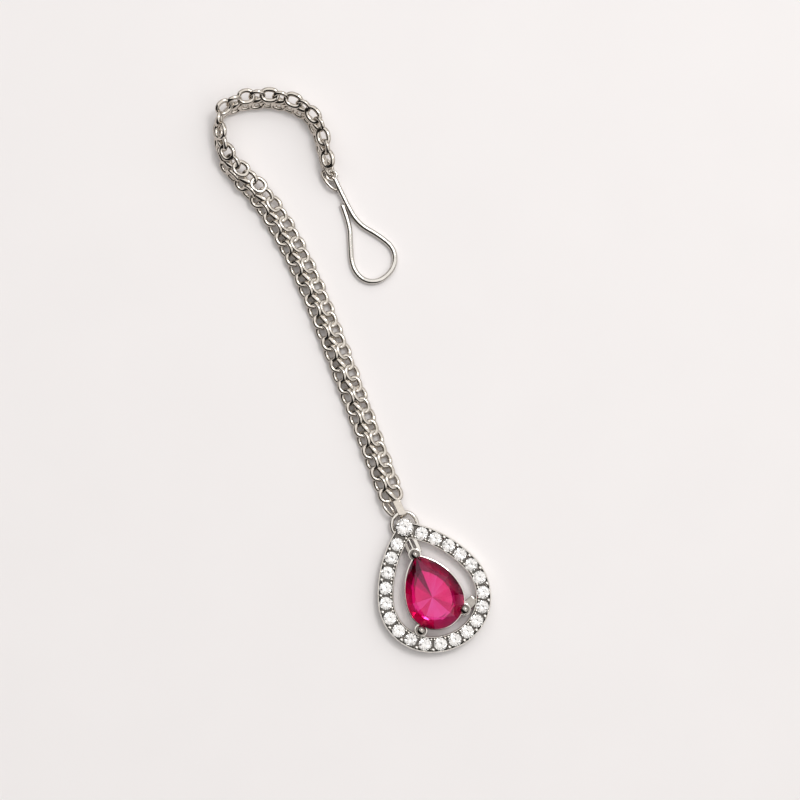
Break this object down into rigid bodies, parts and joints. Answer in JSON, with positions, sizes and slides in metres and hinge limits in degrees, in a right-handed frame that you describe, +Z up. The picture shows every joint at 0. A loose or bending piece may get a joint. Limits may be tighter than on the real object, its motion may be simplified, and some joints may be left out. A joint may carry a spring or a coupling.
{
  "type": "maang tikka",
  "caption": "Forehead ornament lying flat: a pear-cut red stone in a paved pear halo, on a flat double-row chain that ends in a bent wire hook for the hair.",
  "frame": {"origin": "under the middle of the whole ornament's bounding box, on the surface that it lies on", "axes": "+Z up out of the surface, +Y from the pendant towards the hook end of the chain, +X to the right as the pendant's stones face the viewer"},
  "size_m": [0.0493, 0.0991, 0.0045],
  "materials": {
    "rhodium_silver": "polished rhodium-plated silver",
    "red_stone": "faceted transparent red stone",
    "white_stone": "faceted colourless stone"
  },
  "bodies": {
    "root": {"pendant_setting": "rhodium_silver", "pear_stone": "red_stone", "top_stone": "white_stone", "strap_link": "rhodium_silver", "chain": "rhodium_silver", "end_link": "rhodium_silver", "hair_hook": "rhodium_silver"}
  },
  "joints": []
}
